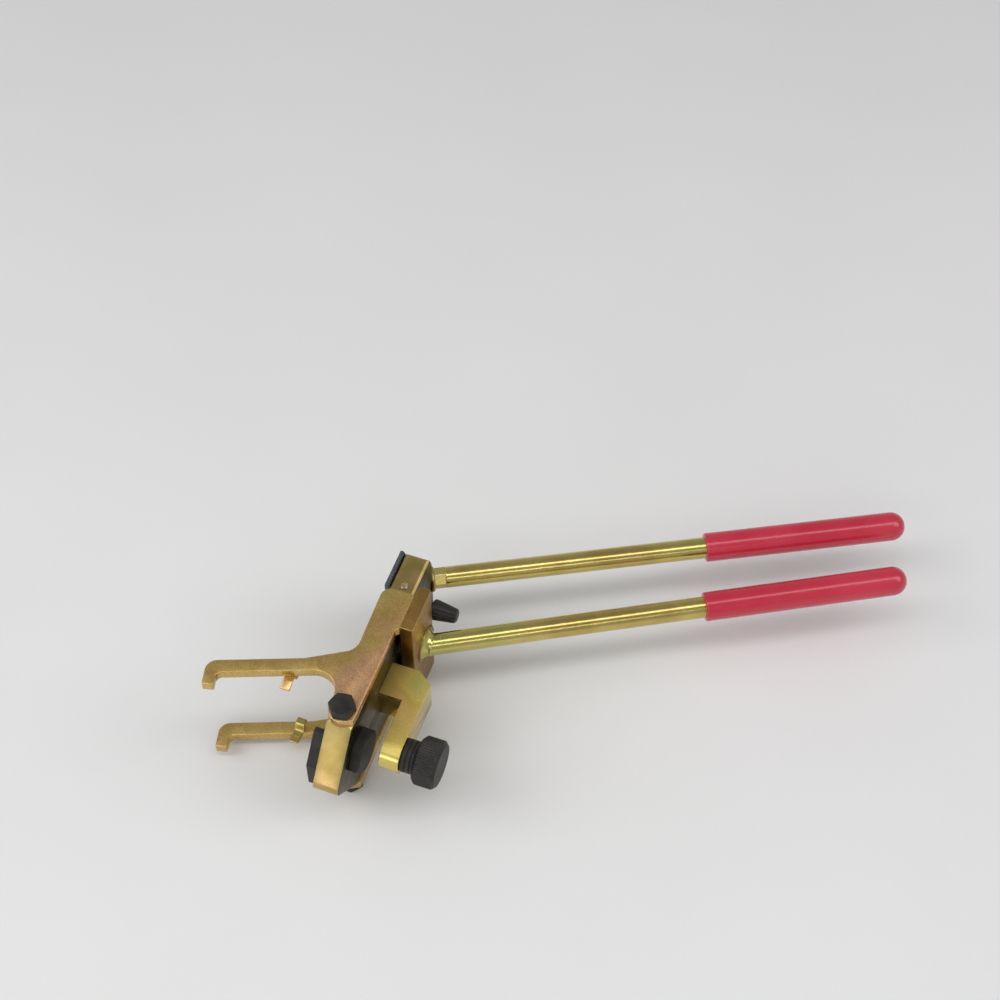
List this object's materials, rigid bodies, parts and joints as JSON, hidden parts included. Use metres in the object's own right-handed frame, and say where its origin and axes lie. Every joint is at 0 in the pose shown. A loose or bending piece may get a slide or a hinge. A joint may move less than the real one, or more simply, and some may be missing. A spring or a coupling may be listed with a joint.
{
  "type": "valve spring compressor",
  "caption": "Hand lever tool whose hooked arms swing on a clamped base bar when the gripped handles are squeezed, to hold back valve springs on an engine head.",
  "frame": {"origin": "centre of the lower pivot bolt's outer face, on the swing axis", "axes": "+Z along the swing axis, towards the upper arm; +Y along the bar, from its nose to its far end; +X towards the handles"},
  "size_m": [0.3336, 0.2744, 0.084],
  "materials": {
    "gold_plate": "yellow passivated zinc plate, satin",
    "black_steel": "black oxide, satin",
    "bright_steel": "bare ground steel",
    "red_grip": "dipped soft plastic, soft gloss",
    "black_plastic": "moulded, matte"
  },
  "bodies": {
    "base": {"base_bar": "gold_plate", "l_bracket": "gold_plate", "bracket_screws": "black_steel", "locating_block": "black_steel", "block_screws": "black_steel", "anvil_pad": "black_steel", "clamp_collar": "black_steel", "upper_pivot_bolt": "black_steel", "lower_pivot_bolt": "black_steel", "dowel_pin": "bright_steel", "upper_socket": "gold_plate", "upper_tube": "gold_plate", "upper_grip": "red_grip", "latch_spring": "bright_steel"},
    "arms": {"upper_arm": "gold_plate", "lower_arm": "gold_plate", "cross_plate": "gold_plate", "lower_socket": "gold_plate", "lower_tube": "gold_plate", "lower_grip": "red_grip", "upper_clip": "gold_plate", "lower_clip": "gold_plate"},
    "clamp_foot": {"clamp_foot": "black_steel"},
    "clamp_screw": {"clamp_screw": "black_steel", "knurled_knob": "black_steel"},
    "catch": {"latch_knob": "black_plastic", "latch_rod": "bright_steel", "toothed_strip": "bright_steel", "strip_nut": "bright_steel"}
  },
  "joints": [
    {"name": "arm_swing", "type": "hinge", "parent": "base", "child": "arms", "pos_m": [0, 0, 0.042], "axis": [0, 0, 1], "range_deg": [-30, 1]},
    {"name": "foot_slide", "type": "slide", "parent": "base", "child": "clamp_foot", "axis": [1, 0, 0], "range_m": [-0.0072, 0]},
    {"name": "screw_turn", "type": "hinge", "parent": "clamp_foot", "child": "clamp_screw", "pos_m": [0.03, 0.0045, 0.042], "axis": [1, 0, 0], "range_deg": [-1490, 0]},
    {"name": "catch_press", "type": "slide", "parent": "base", "child": "catch", "axis": [1, 0, 0], "range_m": [-0.0024, 0], "stiffness_N_per_m": 2000, "deforming": ["latch_spring"]}
  ],
  "couplings": [
    {"joint": "screw_turn", "follows": "foot_slide", "rad_per_m": 3590.4}
  ]
}
